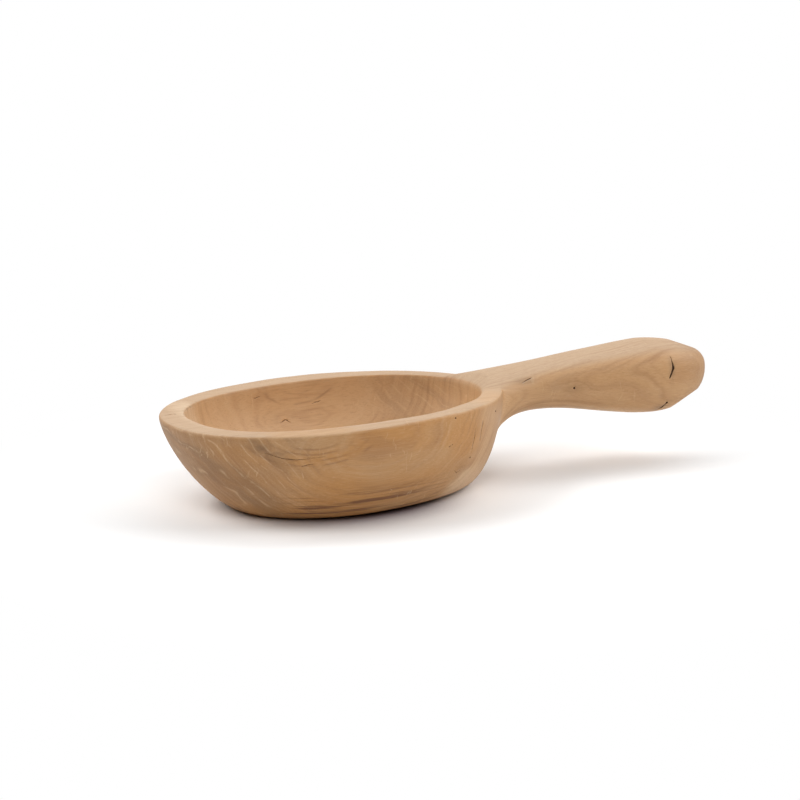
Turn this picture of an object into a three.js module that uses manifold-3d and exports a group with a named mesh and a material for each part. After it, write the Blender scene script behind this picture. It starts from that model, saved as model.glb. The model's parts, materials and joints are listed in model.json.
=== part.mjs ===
// Wooden scoop bowl, carved from a single block: an oval bowl on a flat foot, with a thick handle
// that grows out of the back of the rim, narrows to a waist and swells again towards a rounded end.
//
// Millimetres, +Z up. The origin lies on the foot, below the widest part of the bowl.
// +X runs from the bowl towards the end of the handle.

import * as THREE from 'three';
import Module from 'manifold-3d';

// Overall size
const OVERALL_LENGTH = 390;
const BOWL_WIDTH = 159;
const RIM_HEIGHT = 61;
const CROWN_HEIGHT = 80;

// Rim seen from above: how far it reaches to the front and back of its widest part, how full the
// oval is at each end (2 is an ellipse, more is squarer, less is leaner), and how far the bowl is
// turned from the line of the handle, as hand carving left it
const FRONT_REACH = 116.6;
const BACK_REACH = 119.5;
const RIM_FULLNESS_FRONT = 2.15;
const RIM_FULLNESS_BACK = 1.9;
const BOWL_TURN_DEGREES = 5;
const RIM_OUTER_ROUND = 1.8;

// The rim rises a little along one side: by how much, towards which side, and how local the rise is
const RIM_LIFT = 2;
const LIFT_DIRECTION_DEGREES = -78;
const LIFT_NARROWNESS = 8;

// Flat foot that the bowl stands on
const FOOT_FRONT = 70;
const FOOT_BACK = 96;
const FOOT_WIDTH = 91;
const FOOT_FULLNESS = 2.05;

// How strongly the outer wall bellies out on its way from the foot to the rim
const WALL_BULGE_FRONT = 1.33;
const WALL_BULGE_BACK = 1.45;
const WALL_BULGE_SIDE = 2.2;

// Hollow: the wood left around it at the rim and below it, and the floor it rounds down to
const FRONT_WALL = 17.5;
const BACK_WALL = 17.4;
const SIDE_WALL = 17;
const BOTTOM_THICKNESS = 16;
const HOLLOW_FULLNESS_FRONT = 2.35;
const HOLLOW_FULLNESS_BACK = 2.15;
const FLOOR_FRONT = 52;
const FLOOR_BACK = 60;
const FLOOR_WIDTH = 62;
const FLOOR_FULLNESS = 2;
const HOLLOW_BULGE = 2.2;
const RIM_INNER_ROUND = 1.2;

// Handle: the ramp that lifts it off the back of the rim, its root, its waist, its swell and its end.
// RAMP_RELIEF is how far the cut that eases the ramp's edge above the hollow opens out by the crown's
// height, and END_SHIFT how far the end lies to the side of the bowl's middle.
const RAMP_LENGTH = 26;
const RAMP_RELIEF = 38;
const ROOT_WIDTH = 70;
const ROOT_UNDERSIDE = 22.5;
const WAIST_FROM_BOWL = 30;
const WAIST_WIDTH = 43;
const WAIST_UNDERSIDE = 39.8;
const SWELL_FROM_END = 44;
const SWELL_WIDTH = 53;
const SWELL_UNDERSIDE = 30.8;
const END_HEIGHT = 61;
const END_SHIFT = -10;
const END_FULLNESS = 2.05;
const HANDLE_FULLNESS = 2.5;

// How quickly the handle leaves its root: 1 is a straight slope, more hugs the waist for longer
const CROWN_CURVE = 1.1;
const UNDERSIDE_CURVE = 2.75;
const FLANK_CURVE = 2.1;

// Facets
const OVAL_POINTS = 84;
const WALL_STEPS = 12;
const ROUND_STEPS = 3;
const SECTION_POINTS = 40;
const ROOT_STEPS = 11;
const GRIP_STEPS = 10;
const END_STEPS = 9;

const UP = new THREE.Vector3(0, 0, 1);
const QUARTER = Math.PI / 2;
const { degToRad, lerp } = THREE.MathUtils;

const signedPower = (value, power) => Math.sign(value) * Math.abs(value) ** power;

// How much higher than drawn the bowl is at an angle around it
function liftAt(angle) {
  const towardsLift = Math.max(Math.cos(angle - degToRad(LIFT_DIRECTION_DEGREES)), 0);
  return 1 + (RIM_LIFT / RIM_HEIGHT) * towardsLift ** LIFT_NARROWNESS;
}

// An oval at height z, anticlockwise from above, turned with the bowl and lifted with its rim
function ovalRing(oval, z) {
  return Array.from({ length: OVAL_POINTS }, (_, i) => {
    const angle = (4 * QUARTER * i) / OVAL_POINTS;
    const along = Math.cos(angle);
    const across = Math.sin(angle);
    const power = 2 / lerp(oval.fullnessFront, oval.fullnessBack, (1 + along) / 2);
    const x = (along < 0 ? oval.front : oval.back) * signedPower(along, power);
    const y = oval.side * signedPower(across, power);
    return new THREE.Vector3(x, y, z * liftAt(angle)).applyAxisAngle(UP, degToRad(BOWL_TURN_DEGREES));
  });
}

// The same oval with its edge moved outwards, or inwards for a negative offset
function offsetOval(oval, offset) {
  return {
    ...oval,
    front: oval.front + offset,
    back: oval.back + offset,
    side: oval.side + offset,
  };
}

// Rings of a wall that bellies out from a low oval to a wide one above it
function bellyRings(low, wide, bulge, zLow, zWide) {
  return Array.from({ length: WALL_STEPS + 1 }, (_, step) => {
    const rise = 1 - Math.cos((QUARTER * step) / WALL_STEPS);
    const grown = (strength) => (1 - (1 - rise) ** strength) ** (1 / strength);
    const oval = {
      front: lerp(low.front, wide.front, grown(bulge.front)),
      back: lerp(low.back, wide.back, grown(bulge.back)),
      side: lerp(low.side, wide.side, grown(bulge.side)),
      fullnessFront: lerp(low.fullnessFront, wide.fullnessFront, rise),
      fullnessBack: lerp(low.fullnessBack, wide.fullnessBack, rise),
    };
    return ovalRing(oval, lerp(zLow, zWide, rise));
  });
}

// Rings that round an edge off up to the rim: direction -1 draws the oval in, +1 opens it
function roundRings(oval, radius, direction) {
  return Array.from({ length: ROUND_STEPS }, (_, step) => {
    const angle = (QUARTER * (step + 1)) / ROUND_STEPS;
    const offset = direction * radius * (1 - Math.cos(angle));
    return ovalRing(offsetOval(oval, offset), RIM_HEIGHT - radius * (1 - Math.sin(angle)));
  });
}

const centroid = (ring) =>
  ring.reduce((sum, point) => sum.add(point), new THREE.Vector3()).divideScalar(ring.length);

// A closed skin over rings that follow each other, capped flat at the start and up to a tip at the end
function loft(rings, tip = centroid(rings.at(-1))) {
  const count = rings[0].length;
  const lastRing = (rings.length - 1) * count;
  const points = [...rings.flat(), centroid(rings[0]), tip];
  const startCentre = points.length - 2;
  const endTip = points.length - 1;
  const triangles = [];
  for (let i = 0; i < count; i += 1) {
    const next = (i + 1) % count;
    triangles.push(startCentre, next, i);
    for (let ring = 0; ring < lastRing; ring += count) {
      triangles.push(ring + i, ring + next, ring + count + next);
      triangles.push(ring + i, ring + count + next, ring + count + i);
    }
    triangles.push(endTip, lastRing + i, lastRing + next);
  }
  return new THREE.BufferGeometry().setFromPoints(points).setIndex(triangles);
}

const rimOval = {
  front: FRONT_REACH,
  back: BACK_REACH,
  side: BOWL_WIDTH / 2,
  fullnessFront: RIM_FULLNESS_FRONT,
  fullnessBack: RIM_FULLNESS_BACK,
};

const footOval = {
  front: FOOT_FRONT,
  back: FOOT_BACK,
  side: FOOT_WIDTH / 2,
  fullnessFront: FOOT_FULLNESS,
  fullnessBack: FOOT_FULLNESS,
};

const hollowOval = {
  front: FRONT_REACH - FRONT_WALL,
  back: BACK_REACH - BACK_WALL,
  side: BOWL_WIDTH / 2 - SIDE_WALL,
  fullnessFront: HOLLOW_FULLNESS_FRONT,
  fullnessBack: HOLLOW_FULLNESS_BACK,
};

const floorOval = {
  front: FLOOR_FRONT,
  back: FLOOR_BACK,
  side: FLOOR_WIDTH / 2,
  fullnessFront: FLOOR_FULLNESS,
  fullnessBack: FLOOR_FULLNESS,
};

// The bowl before it is hollowed
function bowlBlank() {
  const bulge = { front: WALL_BULGE_FRONT, back: WALL_BULGE_BACK, side: WALL_BULGE_SIDE };
  const wall = bellyRings(footOval, rimOval, bulge, 0, RIM_HEIGHT - RIM_OUTER_ROUND);
  return loft([...wall, ...roundRings(rimOval, RIM_OUTER_ROUND, -1)]);
}

// The space inside the bowl, opened out above the rim so that it also eases the root of the handle
function hollow() {
  const bulge = { front: HOLLOW_BULGE, back: HOLLOW_BULGE, side: HOLLOW_BULGE };
  const wall = bellyRings(floorOval, hollowOval, bulge, BOTTOM_THICKNESS, RIM_HEIGHT - RIM_INNER_ROUND);
  const mouth = ovalRing(offsetOval(hollowOval, RIM_INNER_ROUND + RAMP_RELIEF), CROWN_HEIGHT);
  return loft([...wall, ...roundRings(hollowOval, RIM_INNER_ROUND, 1), mouth]);
}

// Places along the handle
const rootX = hollowOval.back + RIM_INNER_ROUND;
const rampX = rootX - RAMP_LENGTH;
const waistX = BACK_REACH + WAIST_FROM_BOWL;
const endX = OVERALL_LENGTH - FRONT_REACH;
const swellX = endX - SWELL_FROM_END;

// From the root's size to the waist's, levelling out at the waist
const settle = (x, atRoot, atWaist, curve) =>
  atWaist + (atRoot - atWaist) * ((waistX - x) / (waistX - rootX)) ** curve;

// From the waist's size to the swell's, level at both
const ease = (x, atWaist, atSwell) =>
  lerp(atSwell, atWaist, (1 + Math.cos((2 * QUARTER * (x - waistX)) / (swellX - waistX))) / 2);

const settleOrEase = (x, atRoot, atWaist, atSwell, curve) =>
  (x < waistX ? settle(x, atRoot, atWaist, curve) : ease(x, atWaist, atSwell));

const crownAt = (x) =>
  CROWN_HEIGHT - (CROWN_HEIGHT - RIM_HEIGHT) * ((swellX - x) / (swellX - rampX)) ** CROWN_CURVE;

const undersideAt = (x) =>
  settleOrEase(Math.max(x, rootX), ROOT_UNDERSIDE, WAIST_UNDERSIDE, SWELL_UNDERSIDE, UNDERSIDE_CURVE);

const widthAt = (x) => settleOrEase(x, ROOT_WIDTH, WAIST_WIDTH, SWELL_WIDTH, FLANK_CURVE);

// The handle starts in the middle of the turned bowl's back wall and leans to one side from there
const rootShift = rootX * Math.sin(degToRad(BOWL_TURN_DEGREES));
const shiftAt = (x) => lerp(rootShift, END_SHIFT, (x - rootX) / (endX - rootX));

// A rounded section across the handle, anticlockwise seen from its end
function sectionRing(x, width, underside, crown) {
  return Array.from({ length: SECTION_POINTS }, (_, i) => {
    const angle = (4 * QUARTER * i) / SECTION_POINTS;
    const y = shiftAt(x) + (width / 2) * signedPower(Math.cos(angle), 2 / HANDLE_FULLNESS);
    const half = (crown - underside) / 2;
    const z = underside + half + half * signedPower(Math.sin(angle), 2 / HANDLE_FULLNESS);
    return new THREE.Vector3(x, y, z);
  });
}

// The handle, from inside the back wall of the bowl to its rounded end
function handle() {
  const rings = [];
  const addRing = (x) => rings.push(sectionRing(x, widthAt(x), undersideAt(x), crownAt(x)));
  for (let step = 0; step < ROOT_STEPS; step += 1) {
    addRing(lerp(rampX, waistX, step / ROOT_STEPS));
  }
  for (let step = 0; step < GRIP_STEPS; step += 1) {
    addRing(lerp(waistX, swellX, step / GRIP_STEPS));
  }
  for (let step = 0; step < END_STEPS; step += 1) {
    const angle = (QUARTER * step) / END_STEPS;
    const shrink = Math.cos(angle) ** (2 / END_FULLNESS);
    rings.push(sectionRing(
      lerp(swellX, endX, Math.sin(angle) ** (2 / END_FULLNESS)),
      SWELL_WIDTH * shrink,
      lerp(END_HEIGHT, SWELL_UNDERSIDE, shrink),
      lerp(END_HEIGHT, CROWN_HEIGHT, shrink),
    ));
  }
  return loft(rings, new THREE.Vector3(endX, END_SHIFT, END_HEIGHT));
}

const wasm = await Module();
wasm.setup();

function toSolid(geometry) {
  return new wasm.Manifold(new wasm.Mesh({
    numProp: 3,
    vertProperties: geometry.getAttribute('position').array,
    triVerts: Uint32Array.from(geometry.getIndex().array),
  }));
}

function toGeometry(solid) {
  const { vertProperties, triVerts } = solid.getMesh();
  const geometry = new THREE.BufferGeometry();
  geometry.setAttribute('position', new THREE.BufferAttribute(vertProperties, 3));
  geometry.setIndex(new THREE.BufferAttribute(triVerts, 1));
  geometry.computeVertexNormals();
  return geometry;
}

const wood = new THREE.MeshStandardMaterial({ color: 0xba9268, roughness: 0.62, metalness: 0 });

const carved = toSolid(bowlBlank()).add(toSolid(handle())).subtract(toSolid(hollow()));
const scoop = new THREE.Mesh(toGeometry(carved), wood);
scoop.name = 'carved_scoop';

const object = new THREE.Group();
object.add(scoop);

export default object;
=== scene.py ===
# %% [markdown]
# # A carved wooden scoop
# The object is one block of pale hardwood: an oval bowl on a flat foot, with a thick handle that
# grows out of the back of its rim. The imported model gives its size and place, so it is loaded first.

# %% Load the frame
import json
import math

import bpy
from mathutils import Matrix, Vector

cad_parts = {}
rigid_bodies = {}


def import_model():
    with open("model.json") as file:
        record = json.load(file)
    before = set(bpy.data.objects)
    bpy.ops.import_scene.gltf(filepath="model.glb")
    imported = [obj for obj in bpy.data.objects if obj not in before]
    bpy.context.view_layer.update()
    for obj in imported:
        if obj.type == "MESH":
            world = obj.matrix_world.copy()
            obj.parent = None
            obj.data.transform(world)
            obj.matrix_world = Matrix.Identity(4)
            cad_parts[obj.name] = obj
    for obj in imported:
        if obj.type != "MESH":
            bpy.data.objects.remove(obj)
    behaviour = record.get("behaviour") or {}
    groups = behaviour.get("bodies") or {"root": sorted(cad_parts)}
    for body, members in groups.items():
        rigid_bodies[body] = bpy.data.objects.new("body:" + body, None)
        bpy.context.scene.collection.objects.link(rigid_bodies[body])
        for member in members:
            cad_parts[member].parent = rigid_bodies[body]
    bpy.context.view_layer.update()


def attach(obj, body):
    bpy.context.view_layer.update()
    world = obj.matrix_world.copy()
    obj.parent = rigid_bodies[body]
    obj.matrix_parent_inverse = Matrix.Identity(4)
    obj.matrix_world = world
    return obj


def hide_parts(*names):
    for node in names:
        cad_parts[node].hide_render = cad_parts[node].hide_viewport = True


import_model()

# %% [markdown]
# ## Formulas as nodes
# The shape and the grain both follow formulas. Nodes can hold a formula, but one Math node at a time
# is hard to read. A small class lets a line of Python such as `a + b * c` place those nodes instead.
# The same class serves geometry trees and materials, because both share the Math node.

# %% A term of a formula
def add_node(tree, kind, inputs=None, **settings):
    """Adds a node, sets its options, and links or fills its inputs by name or number."""
    node = tree.nodes.new(kind)
    for option, value in settings.items():
        setattr(node, option, value)
    for key, value in (inputs or {}).items():
        if isinstance(value, Term):
            tree.links.new(value.socket, node.inputs[key])
        else:
            node.inputs[key].default_value = value
    return node


def result(tree, kind, inputs=None, output=0, **settings):
    """Adds a node, and gives one of its outputs as a term."""
    return Term(tree, add_node(tree, kind, inputs, **settings).outputs[output])


def calc(tree, operation, *terms):
    """One Math node."""
    return result(tree, "ShaderNodeMath", dict(enumerate(terms)), operation=operation)


class Term:
    """An output of a node that can be used in a formula."""

    def __init__(self, tree, socket):
        self.tree = tree
        self.socket = socket

    def __add__(self, other):
        return calc(self.tree, "ADD", self, other)

    def __radd__(self, other):
        return calc(self.tree, "ADD", other, self)

    def __sub__(self, other):
        return calc(self.tree, "SUBTRACT", self, other)

    def __rsub__(self, other):
        return calc(self.tree, "SUBTRACT", other, self)

    def __mul__(self, other):
        return calc(self.tree, "MULTIPLY", self, other)

    def __rmul__(self, other):
        return calc(self.tree, "MULTIPLY", other, self)

    def __truediv__(self, other):
        return calc(self.tree, "DIVIDE", self, other)

    def __rtruediv__(self, other):
        return calc(self.tree, "DIVIDE", other, self)

    def __pow__(self, other):
        return calc(self.tree, "POWER", self, other)


# %% Words for common formulas
def sine(term):
    return calc(term.tree, "SINE", term)


def cosine(term):
    return calc(term.tree, "COSINE", term)


def lowest(term, other):
    return calc(term.tree, "MINIMUM", term, other)


def highest(term, other):
    return calc(term.tree, "MAXIMUM", term, other)


def share(term):
    """The term held between 0 and 1."""
    return lowest(highest(term, 0.0), 1.0)


def mix(start, end, part):
    return (end - start) * part + start


def signed_power(term, power):
    return calc(term.tree, "SIGN", term) * calc(term.tree, "ABSOLUTE", term) ** power


def split(term):
    """The x, y and z of a vector."""
    node = add_node(term.tree, "ShaderNodeSeparateXYZ", {0: term})
    return [Term(term.tree, socket) for socket in node.outputs]


def join(tree, x, y, z):
    """A vector from its x, y and z."""
    return result(tree, "ShaderNodeCombineXYZ", {0: x, 1: y, 2: z})


# %% Try a formula
trial = bpy.data.node_groups.new("trial", "GeometryNodeTree")
share(result(trial, "ShaderNodeValue") * 2 + 1)
print("The formula share(value * 2 + 1) placed", len(trial.nodes) - 1, "Math nodes")
bpy.data.node_groups.remove(trial)

# %% [markdown]
# ## Geometry trees
# Each tree takes its sizes as named inputs, so that one tree can make several forms. A modifier's
# inputs are set by their identifiers before the object is first evaluated. The result is then turned
# into a plain mesh, and nothing live is left on the piece.

# %% Start and end a tree
def new_tree(name, sizes, takes_geometry=False):
    """A geometry tree with named inputs; gives the tree and its inputs as terms."""
    tree = bpy.data.node_groups.new(name, "GeometryNodeTree")
    if takes_geometry:
        tree.interface.new_socket("Geometry", in_out="INPUT", socket_type="NodeSocketGeometry")
    for label, value in sizes.items():
        socket = tree.interface.new_socket(label, in_out="INPUT", socket_type="NodeSocketFloat")
        socket.default_value = value
    tree.interface.new_socket("Material", in_out="INPUT", socket_type="NodeSocketMaterial")
    tree.interface.new_socket("Geometry", in_out="OUTPUT", socket_type="NodeSocketGeometry")
    group_input = tree.nodes.new("NodeGroupInput")
    return tree, {socket.name: Term(tree, socket) for socket in group_input.outputs if socket.name}


def end_tree(tree, given, geometry):
    """Closes a tree with Realize Instances and Set Material."""
    whole = result(tree, "GeometryNodeRealizeInstances", {"Geometry": geometry})
    painted = result(tree, "GeometryNodeSetMaterial", {"Geometry": whole, "Material": given["Material"]})
    add_node(tree, "NodeGroupOutput", {0: painted})


# %% Use a tree, and take its result
def add_tree(piece, tree, material, **sizes):
    """Puts a tree on an object, with its inputs set by identifier."""
    if not piece.data.materials:
        piece.data.materials.append(material)
    modifier = piece.modifiers.new(tree.name, "NODES")
    modifier.node_group = tree
    sizes["Material"] = material
    for item in tree.interface.items_tree:
        if item.in_out == "INPUT" and item.name in sizes:
            modifier[item.identifier] = sizes[item.name]


def new_piece(name, mesh=None):
    piece = bpy.data.objects.new(name, mesh or bpy.data.meshes.new(name))
    bpy.context.scene.collection.objects.link(piece)
    return piece


def make_plain(piece):
    """Keeps what an object's modifiers make as its mesh, without the modifiers and empty slots."""
    bpy.context.view_layer.update()
    evaluated = piece.evaluated_get(bpy.context.evaluated_depsgraph_get())
    mesh = bpy.data.meshes.new_from_object(evaluated)
    mesh.name = piece.name
    for index in reversed(range(len(mesh.materials))):
        if mesh.materials[index] is None:
            mesh.materials.pop(index=index)
    piece.modifiers.clear()
    piece.data = mesh


# %% [markdown]
# ## The bowl and its hollow
# Seen from above, the bowl is an oval, a little fuller at the front than at the back. Below the rim
# the wall bellies out from a smaller flat foot, and the edge of the rim is rounded. The hollow is cut
# by the same rule with smaller ovals. Above the rim its form flares out, and so trims the ramp of the
# handle back from the mouth. On the near side the wall rises a little towards the rim. A lathe can't
# make this, because it is no body of revolution, and hand-placed rings would be a table of numbers.
# One tree bends a cylinder into shape by formula, once for the block and once for the hollow.

# %% Sizes of the bowl
MM = 0.001
RIM_HEIGHT = 61 * MM
CROWN_HEIGHT = 80 * MM
FRONT_REACH = 116.6 * MM
BACK_REACH = 119.5 * MM
BOWL_SIDE = 79.5 * MM
BOWL_TURN = math.radians(5)
OUTER_ROUND = 1.8 * MM
INNER_ROUND = 1.2 * MM
FRONT_WALL = 17.5 * MM
BACK_WALL = 17.4 * MM
SIDE_WALL = 17 * MM
BOTTOM_THICKNESS = 16 * MM
RAMP_RELIEF = 38 * MM
RIM_LIFT = 2 * MM
LIFT_ANGLE = math.radians(-78)
LIFT_NARROWNESS = 8

BLOCK_SIZES = {
    "Low Front": 70 * MM, "Low Back": 96 * MM, "Low Side": 45.5 * MM, "Low Fullness": 2.05,
    "Wide Front": FRONT_REACH, "Wide Back": BACK_REACH, "Wide Side": BOWL_SIDE,
    "Fullness Front": 2.15, "Fullness Back": 1.9,
    "Bulge Front": 1.33, "Bulge Back": 1.45, "Bulge Side": 2.2,
    "Low Height": 0.0, "Wide Height": RIM_HEIGHT - OUTER_ROUND,
    "Round": OUTER_ROUND, "Round Direction": -1.0, "Mouth Rise": 0.0, "Mouth Flare": 0.0,
}
HOLLOW_SIZES = {
    "Low Front": 52 * MM, "Low Back": 60 * MM, "Low Side": 31 * MM, "Low Fullness": 2.0,
    "Wide Front": FRONT_REACH - FRONT_WALL, "Wide Back": BACK_REACH - BACK_WALL,
    "Wide Side": BOWL_SIDE - SIDE_WALL, "Fullness Front": 2.35, "Fullness Back": 2.15,
    "Bulge Front": 2.2, "Bulge Back": 2.2, "Bulge Side": 2.2,
    "Low Height": BOTTOM_THICKNESS, "Wide Height": RIM_HEIGHT - INNER_ROUND,
    "Round": INNER_ROUND, "Round Direction": 1.0,
    "Mouth Rise": CROWN_HEIGHT - RIM_HEIGHT, "Mouth Flare": RAMP_RELIEF,
}
hollow_depth = RIM_HEIGHT - BOTTOM_THICKNESS
print("Bowl:", round(RIM_HEIGHT / MM), "mm high, with a hollow", round(hollow_depth / MM), "mm deep")

# %% Bend a cylinder by formula
MERGE = 0.01 * MM


def cylinder_to_bend(tree, points, rings):
    """A closed unit cylinder; gives its geometry, the angle around it and the ring's number."""
    cylinder = result(tree, "GeometryNodeMeshCylinder", {
        "Vertices": points, "Side Segments": rings, "Radius": 1.0, "Depth": 1.0}, "Mesh")
    x, y, z = split(result(tree, "GeometryNodeInputPosition"))
    return cylinder, calc(tree, "ARCTAN2", y, x), (z + 0.5) * float(rings)


def move(tree, geometry, way, vector):
    """Moves points: the way is Position for a new place, or Offset for a step from the old one."""
    return result(tree, "GeometryNodeSetPosition", {"Geometry": geometry, way: vector})


def weld(tree, geometry):
    """Merges points that fall together."""
    return result(tree, "GeometryNodeMergeByDistance", {"Geometry": geometry, "Distance": MERGE})


# %% The tree of the bowl and of its hollow
QUARTER = math.pi / 2
OVAL_POINTS = 320
WALL_RINGS = 44
ROUND_RINGS = 8


def oval_loft():
    tree, given = new_tree("oval_loft", BLOCK_SIZES)
    geometry, angle, ring = cylinder_to_bend(tree, OVAL_POINTS, WALL_RINGS + ROUND_RINGS + 1)
    wall = share(ring / WALL_RINGS) * QUARTER
    turn_in = share((ring - WALL_RINGS) / ROUND_RINGS) * QUARTER
    mouth = share(ring - (WALL_RINGS + ROUND_RINGS))
    rise = 1 - cosine(wall)
    offset = (1 - cosine(turn_in)) * given["Round"] * given["Round Direction"]
    offset = offset + mouth * given["Mouth Flare"]

    def reach(side):
        bulge = given["Bulge " + side]
        grown = (1 - (1 - rise) ** bulge) ** (1 / bulge)
        return mix(given["Low " + side], given["Wide " + side], grown) + offset

    along = cosine(angle)
    across = sine(angle)
    fullness_front = mix(given["Low Fullness"], given["Fullness Front"], rise)
    fullness_back = mix(given["Low Fullness"], given["Fullness Back"], rise)
    power = 2 / mix(fullness_front, fullness_back, along * 0.5 + 0.5)
    to_back = calc(tree, "GREATER_THAN", along, 0.0)
    x = mix(reach("Front"), reach("Back"), to_back) * signed_power(along, power)
    y = reach("Side") * signed_power(across, power)
    z = mix(given["Low Height"], given["Wide Height"], rise)
    z = z + sine(turn_in) * given["Round"] + mouth * given["Mouth Rise"]
    lift = highest(cosine(angle - LIFT_ANGLE), 0.0) ** LIFT_NARROWNESS * RIM_LIFT
    z = z * (1 + lift / RIM_HEIGHT)
    turned_x = x * math.cos(BOWL_TURN) - y * math.sin(BOWL_TURN)
    turned_y = x * math.sin(BOWL_TURN) + y * math.cos(BOWL_TURN)
    bent = move(tree, geometry, "Position", join(tree, turned_x, turned_y, z))
    end_tree(tree, given, weld(tree, bent))
    return tree


bowl_tree = oval_loft()
print("Tree of the bowl:", len(bowl_tree.nodes), "nodes and", len(BLOCK_SIZES), "sizes")

# %% [markdown]
# ## The handle
# The handle leaves the rim on a short ramp, narrows to a waist, swells for the palm and ends in a
# rounded nose. Its sections are rounded squares. A curve with a changing radius would keep the top,
# the underside and the sides alike, but here each has its own line, so it is bent by formula too. At
# the root the far lower corner is drawn in, so that it sinks into the wall of the bowl.

# %% Sizes of the handle
HANDLE_SIZES = {
    "Ramp": 26 * MM, "Root": BACK_REACH - BACK_WALL + INNER_ROUND,
    "Waist": BACK_REACH + 30 * MM, "Swell From End": 44 * MM, "End": 390 * MM - FRONT_REACH,
    "Root Width": 70 * MM, "Waist Width": 43 * MM, "Swell Width": 53 * MM,
    "Root Underside": 22.5 * MM, "Waist Underside": 39.8 * MM, "Swell Underside": 30.8 * MM,
    "End Height": 61 * MM, "End Shift": -10 * MM, "End Fullness": 2.05, "Section Fullness": 2.5,
    "Crown Curve": 1.1, "Underside Curve": 2.75, "Flank Curve": 2.1, "Far Pinch": 12 * MM,
}
print("Handle:", round((HANDLE_SIZES["End"] - BACK_REACH) / MM), "mm long beyond the rim")

# %% The tree of the handle
SECTION_POINTS = 96
ROOT_RINGS = 36
GRIP_RINGS = 32
NOSE_RINGS = 28
PINCH_SHARPNESS = 2
PINCH_TOP = 0.6


def handle_loft():
    tree, given = new_tree("handle_loft", HANDLE_SIZES)
    geometry, angle, ring = cylinder_to_bend(tree, SECTION_POINTS, ROOT_RINGS + GRIP_RINGS + NOSE_RINGS)
    root, waist, end = given["Root"], given["Waist"], given["End"]
    ramp = root - given["Ramp"]
    swell = end - given["Swell From End"]
    nose = share((ring - (ROOT_RINGS + GRIP_RINGS)) / NOSE_RINGS) * QUARTER
    body_x = mix(ramp, waist, share(ring / ROOT_RINGS))
    body_x = body_x + (swell - waist) * share((ring - ROOT_RINGS) / GRIP_RINGS)
    nose_power = 2 / given["End Fullness"]
    x = body_x + (end - swell) * highest(sine(nose), 0.0) ** nose_power
    shrink = highest(cosine(nose), 0.0) ** nose_power

    def line(name, at_x, curve):
        """A size that settles from root to waist, and eases from waist to swell."""
        settle = highest((waist - at_x) / (waist - root), 0.0) ** given[curve]
        to_swell = (1 - cosine(share((at_x - waist) / (swell - waist)) * math.pi)) * 0.5
        at_waist = given["Waist " + name]
        size = at_waist + (given["Root " + name] - at_waist) * settle
        return size + (given["Swell " + name] - at_waist) * to_swell

    drop = highest((swell - body_x) / (swell - ramp), 0.0) ** given["Crown Curve"]
    crown = CROWN_HEIGHT - drop * (CROWN_HEIGHT - RIM_HEIGHT)
    underside = line("Underside", highest(body_x, root), "Underside Curve")
    width = line("Width", body_x, "Flank Curve") * shrink
    top = mix(given["End Height"], crown, shrink)
    bottom = mix(given["End Height"], underside, shrink)
    root_shift = root * math.sin(BOWL_TURN)
    shift = mix(root_shift, given["End Shift"], (x - root) / (end - root))
    power = 2 / given["Section Fullness"]
    far_low = share(cosine(angle) * PINCH_SHARPNESS) * share(PINCH_TOP - sine(angle))
    pinch = given["Far Pinch"] * far_low * share((waist - x) / (waist - root))
    y = shift + width * 0.5 * signed_power(cosine(angle), power) - pinch
    z = (top + bottom) * 0.5 + (top - bottom) * 0.5 * signed_power(sine(angle), power)
    bent = move(tree, geometry, "Position", join(tree, x, y, z))
    end_tree(tree, given, weld(tree, bent))
    return tree


handle_tree = handle_loft()
print("Tree of the handle:", len(handle_tree.nodes), "nodes and", len(HANDLE_SIZES), "sizes")

# %% [markdown]
# ## One carved body
# The handle is joined to the block and the hollow is cut out, as the carver did. The edges that a
# boolean leaves are razor sharp, while real ones are eased by the knife and by sandpaper. Remeshing
# to an even grid and blurring the points a little rounds every edge at once, also the inside corner
# at the neck, where a bevel would fail. Below the neck, where a gouge can't follow a sharp corner, the
# blur is much wider and leaves a fillet. The nose of the handle has two flat facets from the last cuts
# of the knife: whatever stands beyond a facet's plane is pressed back onto it. A slow noise along the
# normals adds the slight unevenness of hand work. It fades out at the foot, which stays flat. How far
# each point stands out of its surroundings is stored as edge_convexity, for the material to read: it
# lightens edges as wear and as a painted highlight, and darkens inside corners as painted shade. Last,
# a Decimate modifier keeps about half of the grid's faces.

# %% Words for places
VALUE_RESULTS = ("DOT_PRODUCT", "LENGTH", "DISTANCE")


def vector_math(tree, operation, *terms):
    """One Vector Math node."""
    output = "Value" if operation in VALUE_RESULTS else "Vector"
    return result(tree, "ShaderNodeVectorMath", dict(enumerate(terms)), output, operation=operation)


def scale_vector(tree, vector, amount):
    return result(tree, "ShaderNodeVectorMath", {0: vector, "Scale": amount}, operation="SCALE")


def bell(term):
    """1 where the term is 0, falling softly to almost 0 at 2 and at -2."""
    return calc(term.tree, "EXPONENT", term * term * -1)


def off_centre(place, centre, radii):
    """0 at a centre and 1 on an egg with the given radii around it."""
    tree = place.tree
    offset = vector_math(tree, "SUBTRACT", place, centre)
    return vector_math(tree, "LENGTH", vector_math(tree, "DIVIDE", offset, radii))


def swing(term):
    """A value between 0 and 1 as one between -1 and 1."""
    return (term - 0.5) * 2


def unevenness(tree, position, size, output="Fac"):
    """Soft noise that changes over a given size."""
    return result(tree, "ShaderNodeTexNoise",
                  {"Vector": position, "Scale": 1 / size, "Detail": 1.0}, output)


# %% Blur and flatten
def blur_points(tree, position, passes, weight=1.0):
    """Where each point would be after it is averaged with its neighbours."""
    blur = add_node(tree, "GeometryNodeBlurAttribute",
                    {"Value": position, "Iterations": passes, "Weight": weight}, data_type="FLOAT_VECTOR")
    return Term(tree, next(socket for socket in blur.outputs if socket.enabled))


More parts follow.
